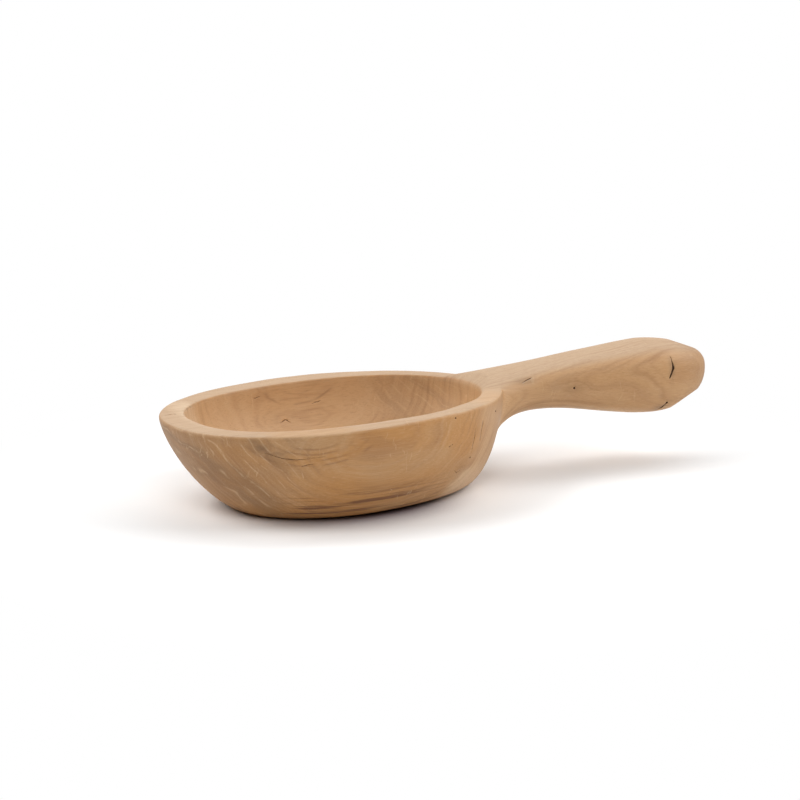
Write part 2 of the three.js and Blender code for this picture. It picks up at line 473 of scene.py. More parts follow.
def flatten(tree, geometry, position, facing, distance):
    """Presses what stands beyond a plane back onto it."""
    beyond = highest(vector_math(tree, "DOT_PRODUCT", position, facing) - distance, 0.0)
    return move(tree, geometry, "Offset", scale_vector(tree, facing, beyond * -1))


# %% The tree that eases edges and adds hand work
FINISH_SIZES = {
    "Unevenness": 0.35 * MM, "Facet Size": 38 * MM,
    "Tool Marks": 0.07 * MM, "Tool Mark Size": 9 * MM, "Foot Height": 6 * MM,
    "Full Wear": 0.34 * MM,
}
EASE_PASSES = 2
CONVEXITY_PASSES = 5
FILLET_PASSES = 160
FILLET_MIDDLE = (108 * MM, 22 * MM, 28 * MM)
FILLET_RADII = (24 * MM, 30 * MM, 16 * MM)
# Each facet has the direction that it faces and its distance from the origin along it
FACETS = {
    "under the nose": ((0.3823, -0.4859, -0.7860), 75.7 * MM),
    "over the nose": ((0.3541, -0.0046, 0.9352), 161.3 * MM),
}


def hand_finish():
    tree, given = new_tree("hand_finish", FINISH_SIZES, takes_geometry=True)
    position = result(tree, "GeometryNodeInputPosition")
    normal = result(tree, "GeometryNodeInputNormal", output="Normal")
    geometry = given["Geometry"]
    for facing, distance in FACETS.values():
        geometry = flatten(tree, geometry, position, facing, distance)
    below_neck = bell(off_centre(position, FILLET_MIDDLE, FILLET_RADII))
    geometry = move(tree, geometry, "Position", blur_points(tree, position, FILLET_PASSES, below_neck))
    geometry = move(tree, geometry, "Position", blur_points(tree, position, EASE_PASSES))
    waves = []
    for height, size in (("Unevenness", "Facet Size"), ("Tool Marks", "Tool Mark Size")):
        waves.append(swing(unevenness(tree, position, given[size])) * given[height])
    above_foot = share(split(position)[2] / given["Foot Height"])
    lift = (waves[0] + waves[1]) * above_foot
    geometry = move(tree, geometry, "Offset", scale_vector(tree, normal, lift))
    geometry = result(tree, "GeometryNodeSetShadeSmooth", {"Geometry": geometry})
    # The convexity stored here lets the material paint shade into inside corners, and lighten edges as
    # wear and as a painted highlight.
    bent = vector_math(tree, "SUBTRACT", position, blur_points(tree, position, CONVEXITY_PASSES))
    wear_and_painted_light = vector_math(tree, "DOT_PRODUCT", bent, normal) / given["Full Wear"]
    geometry = result(tree, "GeometryNodeStoreNamedAttribute",
                      {"Geometry": geometry, "Name": "edge_convexity", "Value": wear_and_painted_light},
                      data_type="FLOAT", domain="POINT")
    end_tree(tree, given, geometry)
    return tree


finish_tree = hand_finish()
print("Tree of the hand work:", len(finish_tree.nodes), "nodes and", len(FACETS), "facets")


# %% Join, hollow out and ease the body
GRID = 0.95 * MM
KEPT_FACES = 0.52


def cut(piece, other, operation):
    """A boolean modifier with a solid that is only a tool."""
    modifier = piece.modifiers.new(operation.lower(), "BOOLEAN")
    modifier.operation = operation
    modifier.object = other
    modifier.solver = "MANIFOLD"
    modifier.material_mode = "TRANSFER"
    other.hide_render = True


def remove(piece):
    mesh = piece.data
    bpy.data.objects.remove(piece)
    bpy.data.meshes.remove(mesh)


def carve_body(material):
    body = new_piece("scoop_body")
    add_tree(body, bowl_tree, material, **BLOCK_SIZES)
    hollow = new_piece("hollow_form")
    add_tree(hollow, bowl_tree, material, **HOLLOW_SIZES)
    handle = new_piece("handle_form")
    add_tree(handle, handle_tree, material, **HANDLE_SIZES)
    cut(body, handle, "UNION")
    cut(body, hollow, "DIFFERENCE")
    grid = body.modifiers.new("even_grid", "REMESH")
    grid.mode = "VOXEL"
    grid.voxel_size = GRID
    grid.use_smooth_shade = True
    add_tree(body, finish_tree, material, **FINISH_SIZES)
    thinner = body.modifiers.new("fewer_faces", "DECIMATE")
    thinner.ratio = KEPT_FACES
    make_plain(body)
    remove(hollow)
    remove(handle)
    return body


wood = bpy.data.materials.new("carved_wood")
scoop = carve_body(wood)
print("Carved body:", len(scoop.data.vertices), "points,", len(scoop.data.polygons), "faces")


# %% [markdown]
# ## Drying checks
# Wood opens in short cracks, called checks, where it dried too fast. The largest is bent and sits on
# the near side of the handle's nose. A dark line in the material would look painted on at a slant, so
# each check is a real cut. A path is laid on the surface, and a thin blade that tapers at both ends is
# swept along it with its edge pointing inwards. Cutting with that blade also gives the cut its own,
# darker material, dark partly as dust and partly as painted shade for the depth of the crack.

CHECKS = {
    "nose_check": ([(236.0, -28.1, 71.8), (236.6, -31.3, 64.2), (233.0, -31.7, 57.3)], 1.7, 5.0, 1.15),
    "bark_scar": ([(127.8, -15.1, 61.7), (132.6, -14.1, 63.3), (137.6, -13.3, 65.0)], 0.6, 0.6, 2.0),
    "underside_check": ([(225.0, -14.0, 34.0), (232.3, -24.1, 37.9), (234.1, -27.3, 40.8)],
                        1.5, 3.0, 1.6),
    "rim_hairline": ([(-113.5, 15.0, 59.0), (-107.9, 15.4, 61.0), (-96.0, 17.1, 59.5)], 0.4, 1.0, 1.0),
    "wall_hairline": ([(-78.0, -64.2, 51.0), (-69.2, -68.0, 47.4), (-60.8, -71.2, 46.1),
                       (-42.7, -76.3, 47.6)], 0.3, 0.35, 0.8),
    "wall_nick": ([(-57.8, -71.6, 41.8), (-50.3, -74.0, 43.0)], 0.3, 0.4, 1.0),
    "end_hairline": ([(68.0, -60.0, 50.0), (67.0, -59.5, 41.0), (65.5, -59.0, 33.0)], 0.3, 0.35, 1.0),
    "end_tick": ([(75.5, -56.0, 52.0), (74.5, -56.0, 44.0), (74.0, -55.0, 38.0)], 0.3, 0.35, 1.2),
    "swirl_nick": ([(52.0, -64.0, 24.0), (55.5, -62.0, 21.0), (58.5, -61.0, 23.0)], 0.35, 0.4, 1.0),
    "hollow_crescent": ([(-11.2, 57.2, 35.6), (-7.7, 58.4, 37.3), (-4.4, 57.7, 35.1)], 0.45, 0.4, 1.0),
    "hollow_dash": ([(12.9, 61.7, 44.8), (20.3, 61.9, 46.3)], 0.4, 0.5, 1.2),
    "hollow_nick": ([(-29.6, 58.7, 53.8), (-24.9, 59.7, 54.4)], 0.35, 0.4, 1.0),
}
print("Checks:", len(CHECKS), "with openings up to", max(check[1] for check in CHECKS.values()), "mm")

# %% The tree that sweeps a blade along a path
CHECK_SIZES = {
    "Width": 1.0 * MM, "Depth": 2.0 * MM, "Heavy End": 1.0,
    "Raggedness": 0.35 * MM, "Raggedness Size": 2.2 * MM,
}
CHECK_STEPS = 28
LIP = 0.8 * MM
TAPER_POWER = 0.6


def read_attribute(tree, name, kind):
    return result(tree, "GeometryNodeInputNamedAttribute", {"Name": name}, "Attribute", data_type=kind)


def drying_check():
    tree, given = new_tree("drying_check", CHECK_SIZES, takes_geometry=True)
    path = result(tree, "GeometryNodeMeshToCurve", {"Mesh": given["Geometry"]})
    steps = result(tree, "GeometryNodeResampleCurve", {"Curve": path, "Count": CHECK_STEPS})
    position = result(tree, "GeometryNodeInputPosition")
    cloud = unevenness(tree, position, given["Raggedness Size"], "Color")
    x, y, z = (swing(part) * given["Raggedness"] for part in split(cloud))
    ragged = move(tree, steps, "Offset", join(tree, x, y, z))
    facing = read_attribute(tree, "facing", "FLOAT_VECTOR")
    upright = result(tree, "GeometryNodeSetCurveNormal", {"Curve": ragged, "Normal": facing}, mode="FREE")
    along = result(tree, "GeometryNodeSplineParameter", output="Factor")
    taper = highest(sine(along ** given["Heavy End"] * math.pi), 0.0) ** TAPER_POWER
    half = given["Width"] * 0.5
    blade = result(tree, "GeometryNodeCurvePrimitiveQuadrilateral", {
        "Point 1": join(tree, LIP, 0.0, 0.0), "Point 2": join(tree, 0.0, half, 0.0),
        "Point 3": join(tree, given["Depth"] * -1, 0.0, 0.0),
        "Point 4": join(tree, 0.0, half * -1, 0.0)}, mode="POINTS")
    swept = result(tree, "GeometryNodeCurveToMesh", {
        "Curve": upright, "Profile Curve": blade, "Scale": taper, "Fill Caps": True})
    end_tree(tree, given, weld(tree, swept))
    return tree


blade_tree = drying_check()
print("Tree of the blade:", len(blade_tree.nodes), "nodes and", len(CHECK_SIZES), "sizes")

# %% [markdown]
# ## Pinholes
# A few dark dots on the wall and the handle are insect holes and the ends of pin knots. Painted dots
# would stay flat in slanting light, so they are drilled. They repeat, so one tree sets a small drill on
# every place in a list, turned to the surface there.

# %% Where the pinholes are, and their radius, in millimetres
PINHOLES = [
    ((48.5, -68.9, 59.5), 0.5), ((92.0, -43.0, 53.5), 0.55), ((66.2, -59.3, 29.5), 0.55),
    ((44.8, -70.7, 41.8), 0.35), ((47.0, -70.0, 42.6), 0.3), ((166.1, -19.7, 55.8), 0.7),
    ((234.1, -27.3, 40.8), 1.0),
]
print("Pinholes:", len(PINHOLES), "with radii up to", max(radius for place, radius in PINHOLES), "mm")

# %% The tree that sets a drill on each place
DRILL_SIZES = {"Depth": 2.0 * MM}
DRILL_SIDES = 12


def pinholes():
    tree, given = new_tree("pinholes", DRILL_SIZES, takes_geometry=True)
    drill = result(tree, "GeometryNodeMeshCylinder",
                   {"Vertices": DRILL_SIDES, "Radius": 1.0, "Depth": 2.0}, "Mesh")
    facing = read_attribute(tree, "facing", "FLOAT_VECTOR")
    radius = read_attribute(tree, "radius", "FLOAT")
    turn = result(tree, "FunctionNodeAlignRotationToVector", {"Vector": facing}, axis="Z")
    drills = result(tree, "GeometryNodeInstanceOnPoints", {
        "Points": given["Geometry"], "Instance": drill, "Rotation": turn,
        "Scale": join(tree, radius, radius, given["Depth"])})
    end_tree(tree, given, drills)
    return tree


drill_tree = pinholes()
print("Tree of the drill:", len(drill_tree.nodes), "nodes")


# %% Lay paths and places on the surface, and cut
def lay_on(piece, name, places, joined):
    """Points, or a path, moved onto a surface, each with the direction that it faces there."""
    spots = [piece.closest_point_on_mesh(Vector(place) * MM) for place in places]
    edges = [(i, i + 1) for i in range(len(places) - 1)] if joined else []
    mesh = bpy.data.meshes.new(name)
    mesh.from_pydata([point for found, point, normal, face in spots], edges, [])
    facing = mesh.attributes.new("facing", "FLOAT_VECTOR", "POINT")
    for item, (found, point, normal, face) in zip(facing.data, spots):
        item.vector = normal
    return new_piece(name, mesh)


def cut_checks(piece, material):
    tools = []
    for name, (places, width, depth, heavy_end) in CHECKS.items():
        tool = lay_on(piece, name, places, joined=True)
        sizes = {"Width": width * MM, "Depth": depth * MM, "Heavy End": heavy_end}
        add_tree(tool, blade_tree, material, **sizes)
        tools.append(tool)
    drills = lay_on(piece, "pinholes", [place for place, radius in PINHOLES], joined=False)
    radii = drills.data.attributes.new("radius", "FLOAT", "POINT")
    for item, (place, radius) in zip(radii.data, PINHOLES):
        item.value = radius * MM
    add_tree(drills, drill_tree, material)
    tools.append(drills)
    for tool in tools:
        cut(piece, tool, "DIFFERENCE")
    make_plain(piece)
    for tool in tools:
        remove(tool)


check_dust_and_shade = bpy.data.materials.new("check_dust_and_shade")
before = len(scoop.data.polygons)
cut_checks(scoop, check_dust_and_shade)
print("Checks and pinholes added", len(scoop.data.polygons) - before, "faces")


# %% [markdown]
# ## The figure of the wood
# The pattern on wood is no picture laid over it. It is where the surface cuts through growth rings,
# which are nearly flat sheets in a board this wide. Here the sheets stand upright along the handle, so
# the rings show as lines on the rim and the handle, and as wide nested curves on the wall that runs
# beside them. A material that works in the object's own millimetres, with the depth through the sheets
# as its main value, gives all of that at once and agrees from face to face.
#
# Knots and the roots of branches push the rings aside. Each is a soft bump added to the depth, which
# makes the rings close into loops around it. The sanded wood and the raw wood inside the checks share
# this grain, so it is a node group.

# %% Words for the material's formulas
def noise(place, size, detail=2.0):
    """A cloudy value from 0 to 1 that changes over a given length in each direction."""
    scaled = vector_math(place.tree, "DIVIDE", place, size)
    return result(place.tree, "ShaderNodeTexNoise",
                  {"Vector": scaled, "Scale": 1.0, "Detail": detail}, "Fac")


def ease(term, start, end):
    """0 up to the start, 1 from the end, and a soft change between."""
    return result(term.tree, "ShaderNodeMapRange", {"Value": term, "From Min": start, "From Max": end},
                  interpolation_type="SMOOTHSTEP")


# %% Knots: centre, radii, how far the rings are pushed aside, and how dark, in millimetres
KNOTS = {
    "wall_eye": ((-50, -76, 63), (30, 40, 15), 5.0, 0.0),
    "wall_knot": ((-80, -63.5, 54.5), (6, 6, 3.4), 4.0, 0.4),
    "wall_smudge": ((-71, -67, 50.5), (6, 5, 1.8), 0.0, 0.35),
    "wall_shade": ((-86, -60, 56), (12, 8, 5), 0.0, 0.2),
    "wall_swirl": ((57, -63, 25), (9, 8, 7), 6.0, 0.12),
    "hollow_eye": ((4, 62, 61), (27, 20, 15), -5.0, 0.0),
    "pin_knot": ((166, -20, 56), (9, 6, 4), 3.0, 0.25),
    "grip_loops": ((222, -31, 55), (36, 14, 15), 6.0, 0.0),
    "nose_stain": ((235.5, -31, 64), (2.0, 5, 9), 0.0, 0.3),
    "scar_stain": ((132, -14.5, 63.2), (7, 4, 2.2), 1.0, 0.38),
    "under_stain": ((231, -23, 37.5), (5, 6, 3), 0.0, 0.5),
}
print("Knots, eyes and stains:", len(KNOTS))

# %% How deep a place lies in the stack of rings
RING_LEAN = math.radians(-10)
RING_CURVE = 260.0
CURVE_MIDDLE = 40
WANDER_LENGTHS = (110, 45, 45)
RIPPLE_LENGTHS = (30, 7, 7)
KNOT_LENGTHS = (7, 3, 1.6)
KNOT_FAINT, KNOT_STRONG = 0.5, 1.4


def ring_depth(place, wander, ripple):
    """The depth in millimetres, and how dark the knots are."""
    x, y, z = split(place)
    above = z - CURVE_MIDDLE
    depth = y * math.cos(RING_LEAN) + z * math.sin(RING_LEAN)
    depth = depth + above * above / (2 * RING_CURVE)
    depth = depth + swing(noise(place, WANDER_LENGTHS)) * wander
    depth = depth + swing(noise(place, RIPPLE_LENGTHS)) * ripple
    knot = None
    for centre, radii, push, darkness in KNOTS.values():
        close = bell(off_centre(place, centre, radii))
        depth = depth + close * push
        if darkness:
            dark = close * darkness
            knot = highest(knot, dark) if knot else dark
    return depth, knot * mix(KNOT_FAINT, KNOT_STRONG, noise(place, KNOT_LENGTHS))


# %% Lines of late wood
STRETCH = 70
DRIFT = 7
DRIFT_LENGTHS = (1, 9, 1)
LAYER_LENGTHS = (1, 1.7, 1)
LATE_PEAK = 0.62
LATE_WIDTH = 0.13
LINE_PART, SHADE_PART = 0.7, 0.3
STEADY_PART, CHANCE_PART = 0.25, 0.75
FADE_LENGTHS = (48, 14, 14)
FADE_RANGE = (0.38, 0.62)
FADED = 0.2


def late_wood(place, depth, ring_width):
    """How dark each ring is, and the finer layers within the rings."""
    tree = place.tree
    x, y, z = split(place)
    layered = join(tree, x / STRETCH, depth, z / STRETCH)
    count = (depth + swing(noise(layered, DRIFT_LENGTHS, detail=1.0)) * DRIFT) / ring_width
    within = calc(tree, "FRACT", count)
    chance = result(tree, "ShaderNodeTexWhiteNoise", {"W": calc(tree, "FLOOR", count)}, "Value",
                    noise_dimensions="1D")
    shade = ease(within, 0.0, LATE_PEAK) * (1 - ease(within, LATE_PEAK, 1.0))
    ring = bell((within - LATE_PEAK) / LATE_WIDTH) * LINE_PART + shade * SHADE_PART
    ring = ring * (chance * CHANCE_PART + STEADY_PART)
    ring = ring * mix(FADED, 1.0, ease(noise(place, FADE_LENGTHS), *FADE_RANGE))
    return ring, noise(layered, LAYER_LENGTHS, detail=4.0)


# %% The grain group
GRAIN_SIZES = {"Ring Width": 4.6, "Wander": 6.0, "Ripple": 0.9}
GRAIN_RESULTS = ("Ring", "Layers", "Fibre", "Pores", "Zone", "Knot", "Ray")
FIBRE_LENGTHS = (24, 0.6, 0.6)
PORE_LENGTHS, PORE_RANGE = (2.8, 0.26, 0.26), (0.66, 0.74)
ZONE_LENGTHS, ZONE_RANGE = (75, 40, 24), (0.36, 0.64)
RAY_LENGTHS, RAY_RANGE = (1.2, 5.0, 14.0), (0.63, 0.72)
RAY_GROUPS, RAY_GROUP_RANGE = (24, 24, 24), (0.53, 0.64)
SWAY, SWAY_LENGTHS = 14, (9, 9, 14)


def carved_grain():
    tree = bpy.data.node_groups.new("carved_grain", "ShaderNodeTree")
    tree.interface.new_socket("Place", in_out="INPUT", socket_type="NodeSocketVector")
    for label, value in GRAIN_SIZES.items():
        socket = tree.interface.new_socket(label, in_out="INPUT", socket_type="NodeSocketFloat")
        socket.default_value = value
    for label in GRAIN_RESULTS:
        tree.interface.new_socket(label, in_out="OUTPUT", socket_type="NodeSocketFloat")
    group_input = tree.nodes.new("NodeGroupInput")
    given = {socket.name: Term(tree, socket) for socket in group_input.outputs if socket.name}
    place = given["Place"]
    depth, knot = ring_depth(place, given["Wander"], given["Ripple"])
    ring, layers = late_wood(place, depth, given["Ring Width"])
    fibre = noise(place, FIBRE_LENGTHS, detail=3.0)
    pores = ease(noise(place, PORE_LENGTHS, detail=1.0), *PORE_RANGE)
    zone = ease(noise(place, ZONE_LENGTHS), *ZONE_RANGE)
    swayed = vector_math(tree, "ADD", place, join(tree, noise(place, SWAY_LENGTHS) * SWAY, 0.0, 0.0))
    ray = ease(noise(swayed, RAY_LENGTHS, detail=1.0), *RAY_RANGE)
    ray = ray * ease(noise(place, RAY_GROUPS, detail=1.0), *RAY_GROUP_RANGE)
    add_node(tree, "NodeGroupOutput",
             dict(zip(GRAIN_RESULTS, (ring, layers, fibre, pores, zone, knot, ray))))
    return tree


grain = carved_grain()
print("Grain group:", len(grain.nodes), "nodes")


# %% Read the grain in a material
def read_grain(material):
    """Empties a material and gives its place in millimetres and the grain's values there."""
    material.use_nodes = True
    tree = material.node_tree
    tree.nodes.clear()
    place = scale_vector(tree, result(tree, "ShaderNodeTexCoord", output="Object"), 1 / MM)
    node = add_node(tree, "ShaderNodeGroup", {"Place": place, **GRAIN_SIZES}, node_tree=grain)
    return tree, place, {socket.name: Term(tree, socket) for socket in node.outputs}


# %% [markdown]
# ## The sanded wood
# The surface is dry and unlacquered: warm tan, drifting to a greyer pink in places and paler towards
# the handle. Darker late wood, fine fibres and pores lie over that. Streaks of dark heartwood run
# along the foot of the wall. Cut ends of the fibres soak up dirt and are darker. Where the rings are
# cut at a slant, over the front and in the back of the hollow, pale lines and dark bands fan out. Edges
# that stand out are lighter, partly as wear and partly as a painted highlight, and inside corners are
# a little darker as painted shade. A few patches are painted light and shade: bounce light on the low
# end of the wall and under the handle, light on the front of the hollow and, with paler wood, on the
# right end of the wall, and shade, with end grain, on the front of the wall. One colour ramp over the
# rings would tint the whole scoop alike, so the colours are laid one over the other through soft
# masks, as stains would be.

# %% Colours
def colour(red, green, blue):
    """A screen colour from 0 to 255 as the linear light that materials use."""
    def linear(value):
        value = value / 255
        return value / 12.92 if value < 0.04045 else ((value + 0.055) / 1.055) ** 2.4
    return (linear(red), linear(green), linear(blue), 1.0)


def blend(first, second, part):
    """Mixes two colours, through the numbers of the Mix node's colour sockets."""
    return result(part.tree, "ShaderNodeMix", {0: part, 6: first, 7: second}, 2, data_type="RGBA")


TAN = colour(180, 129, 71)
PINK = colour(178, 138, 94)
PALE = colour(193, 154, 113)
TOP_WOOD = colour(179, 151, 121)
HOLLOW_WOOD = colour(203, 165, 122)
LATE_WOOD = colour(143, 99, 60)
# A dark wood for knots, pores and bands, also used as painted shade in inside corners.
HEART_WOOD = colour(108, 66, 37)
KNOT_WOOD_AND_CREASE_SHADE = colour(92, 66, 44)
# A pale wood for pale fibres, layers and worn edges, also used as painted highlight and painted bounce
# light.
PALE_WOOD_AND_PAINTED_LIGHT = colour(222, 196, 163)
RAY_WOOD = colour(216, 184, 142)
# The colour of end grain, also used as painted shade on the front of the wall.
END_GRAIN_AND_PAINTED_SHADE = colour(140, 106, 74)
print("Tan wood in linear light:", [round(value, 3) for value in TAN[:3]])

# %% Areas of the scoop
HOLLOW_MIDDLE = (0, 0, 61)
HOLLOW_RADII = (102, 65, 55)
HOLLOW_EDGE = (1.06, 1.14)
INNER_RIM = (58.5, 60.5)
TOP_FACING = (0.6, 0.95)
WALL_FACING = (0.4, 0.8)
END_FACING = (0.45, 0.95)
CLOUD_LENGTHS = (18, 8, 8)


def find_areas(tree, place, seen):
    """Adds soft masks for the areas, a cloud that breaks up lines, and the stored edge convexity."""
    x, y, z = split(place)
    facing_x, facing_y, facing_z = split(result(tree, "ShaderNodeTexCoord", output="Normal"))
    hollow = 1 - ease(off_centre(place, HOLLOW_MIDDLE, HOLLOW_RADII), *HOLLOW_EDGE)
    seen["Hollow"] = hollow * (1 - ease(z, *INNER_RIM))
    seen["Outside"] = 1 - seen["Hollow"]
    seen["Top"] = ease(facing_z, *TOP_FACING)
    seen["Wall"] = seen["Outside"] * (1 - ease(facing_z, *WALL_FACING))
    seen["End"] = ease(facing_x * calc(tree, "SIGN", x), *END_FACING) * seen["Outside"]
    seen["Cloud"] = noise(place, CLOUD_LENGTHS)
    seen["Wear"] = result(tree, "ShaderNodeAttribute", output="Fac", attribute_name="edge_convexity")


# %% Broad tones and painted light and shade: each patch has its centre, its radii, its tone and how much of it shows
PATCHES = {
    "under the rim": ((-50, -76, 63), (29, 40, 15), PINK, 0.75),
    # Painted light: the front end of the hollow faces the right softbox and is lightened.
    "painted light on the front of the hollow": ((-90, 8, 50), (15, 45, 20), PALE_WOOD_AND_PAINTED_LIGHT, 0.55),
    "back of the hollow": ((80, 30, 46), (34, 34, 24), END_GRAIN_AND_PAINTED_SHADE, 0.12),
    # The front of the wall is darkened partly as end grain and partly as painted shade.
    "end grain and painted shade on the front of the wall": ((-86, -48, 28), (30, 32, 24), END_GRAIN_AND_PAINTED_SHADE, 0.32),
    # Painted bounce light from the white floor lightens the low end of the wall.
    "painted bounce light on the low end of the wall": ((72, -46, 9), (28, 30, 16), PALE_WOOD_AND_PAINTED_LIGHT, 0.45),
    # The right end of the wall is lightened partly as paler wood and partly as painted light.
    "paler wood and painted light on the right end of the wall": ((98, -44, 34), (32, 30, 50), PALE, 0.7),
    # Painted bounce light from the white floor lightens the underside of the handle.
    "painted bounce light under the handle": ((160, 0, 30), (80, 30, 14), PALE_WOOD_AND_PAINTED_LIGHT, 0.25),
    "end of the handle": ((272, -10, 60), (32, 32, 30), END_GRAIN_AND_PAINTED_SHADE, 0.35),
}
PATCH_EDGE = (0.55, 1.25)
PATCH_RAGGEDNESS = 0.3
PALE_RANGE = (60.0, 130.0)
PALE_WANDER = 25
TONE_PARTS = {"pink": 0.6, "pale": 0.55, "hollow": 0.85, "top": 0.85, "end": 0.55}
print("Patches of another tone:", len(PATCHES))


def lay_tones(place, seen):
    x = split(place)[0]
    base = blend(TAN, PINK, seen["Zone"] * TONE_PARTS["pink"])
    towards_handle = ease(x + swing(seen["Zone"]) * PALE_WANDER, *PALE_RANGE)
    base = blend(base, PALE, towards_handle * TONE_PARTS["pale"])
    base = blend(base, HOLLOW_WOOD, seen["Hollow"] * TONE_PARTS["hollow"])
    base = blend(base, TOP_WOOD, seen["Top"] * seen["Outside"] * TONE_PARTS["top"])
    for centre, radii, tint, part in PATCHES.values():
        out = off_centre(place, centre, radii) + swing(seen["Cloud"]) * PATCH_RAGGEDNESS
        base = blend(base, tint, (1 - ease(out, *PATCH_EDGE)) * part)
    return blend(base, END_GRAIN_AND_PAINTED_SHADE, seen["End"] * TONE_PARTS["end"])


# %% Rings, and dark arcs around the two eyes
DARK_LAYERS = (0.5, 0.78)
PALE_LAYERS = (0.25, 0.5)
PLAIN_HOLLOW, PLAIN_TOP = 0.35, 0.4
ARC_RADII = {"hollow_eye": (0.55, 1.0), "wall_eye": (0.72, 0.94, 1.2, 1.42)}
ARC_WIDTH = 0.045
ARC_RAGGEDNESS = 0.06
ARC_BREAKS = (0.35, 0.6)
ARC_TOP = (52.0, 58.0)
RING_PARTS = {"ring": 0.5, "dark layer": 0.42, "pale layer": 0.12, "arc": 0.38}


def lay_rings(base, place, seen):
    figure = 1 - highest(seen["Hollow"] * PLAIN_HOLLOW, seen["Top"] * PLAIN_TOP)
    dark_layer = ease(seen["Layers"], *DARK_LAYERS) * figure
    pale_layer = (1 - ease(seen["Layers"], *PALE_LAYERS)) * figure
    base = blend(base, LATE_WOOD, seen["Ring"] * figure * RING_PARTS["ring"])
    base = blend(base, LATE_WOOD, dark_layer * RING_PARTS["dark layer"])
    base = blend(base, PALE_WOOD_AND_PAINTED_LIGHT, pale_layer * RING_PARTS["pale layer"])
    broken = ease(seen["Cloud"], *ARC_BREAKS)
    below_rim = 1 - ease(split(place)[2], *ARC_TOP)
    for eye, arcs in ARC_RADII.items():
        centre, radii = KNOTS[eye][:2]
        out = off_centre(place, centre, radii) + swing(seen["Cloud"]) * ARC_RAGGEDNESS
        for radius in arcs:
            arc = bell((out - radius) / ARC_WIDTH) * broken * below_rim
            base = blend(base, HEART_WOOD, arc * RING_PARTS["arc"])
    return base


# %% Lines and bands that fan out where the rings are cut at a slant
FAN_STEP = 8.5
FAN_LEAN = 1.1
FAN_WANDER, FAN_WANDER_LENGTHS = 13, (40, 40, 30)
FAN_WIDTH = 0.07
FAN_BREAKS = (0.4, 0.6)
FAN_FRONT = (-75.0, -45.0)
HOLLOW_FAN, HOLLOW_FAN_RADII = (74, 34, 48), (32, 34, 20)
BAND_STEP, BAND_LENGTH = 0.7, 60
BAND_RANGE = (0.48, 0.66)
FAN_PARTS = {"band": 0.3, "band in the hollow": 0.2, "line": 0.4}


def lay_fan(base, place, seen):
    tree = place.tree
    x, y, z = split(place)
    fan = (x + z * FAN_LEAN + swing(noise(place, FAN_WANDER_LENGTHS)) * FAN_WANDER) / FAN_STEP
    front = (1 - ease(x, *FAN_FRONT)) * seen["Wall"]
    slanted = highest(front, bell(off_centre(place, HOLLOW_FAN, HOLLOW_FAN_RADII)) * seen["Hollow"])
    bands = noise(join(tree, fan * BAND_STEP, x / BAND_LENGTH, z / BAND_LENGTH), (1, 1, 1))
    band_part = mix(FAN_PARTS["band"], FAN_PARTS["band in the hollow"], seen["Hollow"])
    base = blend(base, KNOT_WOOD_AND_CREASE_SHADE, ease(bands, *BAND_RANGE) * slanted * band_part)
    line = bell((calc(tree, "FRACT", fan) - 0.5) / FAN_WIDTH) * ease(seen["Cloud"], *FAN_BREAKS)
    return blend(base, RAY_WOOD, line * slanted * FAN_PARTS["line"])


# %% Heartwood streaks along the foot of the wall
STREAK_LENGTHS = (60, 20, 1.7)
STREAK_RANGE = (0.5, 0.62)
STREAK_TOP = (12.0, 28.0)
STREAK_SIDE = (35.0, 55.0)
STREAK_FRONT = (-75.0, -45.0)
STREAK_BACK = (5.0, 70.0)
STREAK_PART = 0.9


def lay_streaks(base, place):
    x, y, z = split(place)
    streak = ease(noise(place, STREAK_LENGTHS, detail=3.0), *STREAK_RANGE)
    low_wall = (1 - ease(z, *STREAK_TOP)) * ease(calc(place.tree, "ABSOLUTE", y), *STREAK_SIDE)
    low_wall = low_wall * (1 - ease(x, *STREAK_BACK)) * ease(x, *STREAK_FRONT)
    return blend(base, HEART_WOOD, streak * low_wall * STREAK_PART)


# %% Rays, fibres, pores, knots, wear with a painted highlight on edges, and painted shade in inside corners
DARK_FIBRES = (0.5, 0.75)
PALE_FIBRES = (0.25, 0.5)
CREASE_SHADE_RANGE = (0.25, 1.0)
WEAR_AND_HIGHLIGHT_RANGE = (0.4, 1.3)
MARK_PARTS = {
    "ray": 0.3, "more ray in the hollow": 0.25, "dark fibre": 0.25, "pale fibre": 0.1, "pore": 0.25,
    "crease_shade": 0.3, "wear_and_painted_light": 0.3,
}


def lay_fine_marks(base, seen):
    rays = seen["Ray"] * (MARK_PARTS["ray"] + seen["Hollow"] * MARK_PARTS["more ray in the hollow"])
    pale_fibres = 1 - ease(seen["Fibre"], *PALE_FIBRES)
    base = blend(base, RAY_WOOD, rays)
    base = blend(base, LATE_WOOD, ease(seen["Fibre"], *DARK_FIBRES) * MARK_PARTS["dark fibre"])
    base = blend(base, PALE_WOOD_AND_PAINTED_LIGHT, pale_fibres * MARK_PARTS["pale fibre"])
    base = blend(base, KNOT_WOOD_AND_CREASE_SHADE, seen["Pores"] * MARK_PARTS["pore"])
    base = blend(base, KNOT_WOOD_AND_CREASE_SHADE, seen["Knot"])
    # Painted shade darkens inside corners, and edges that stand out are lightened partly as wear and
    # partly as a painted highlight.
    base = blend(base, KNOT_WOOD_AND_CREASE_SHADE, ease(seen["Wear"] * -1, *CREASE_SHADE_RANGE) * MARK_PARTS["crease_shade"])
    return blend(base, PALE_WOOD_AND_PAINTED_LIGHT, ease(seen["Wear"], *WEAR_AND_HIGHLIGHT_RANGE) * MARK_PARTS["wear_and_painted_light"])


# %% The material of the scoop
RELIEF = 0.12 * MM
RELIEF_STRENGTH = 0.35
FIBRE_HEIGHT, PORE_DEPTH, RING_HOLLOW = 0.4, 0.6, 0.3
SANDED_ROUGHNESS, FIBRE_ROUGHNESS, PORE_ROUGHNESS = 0.5, 0.12, 0.1


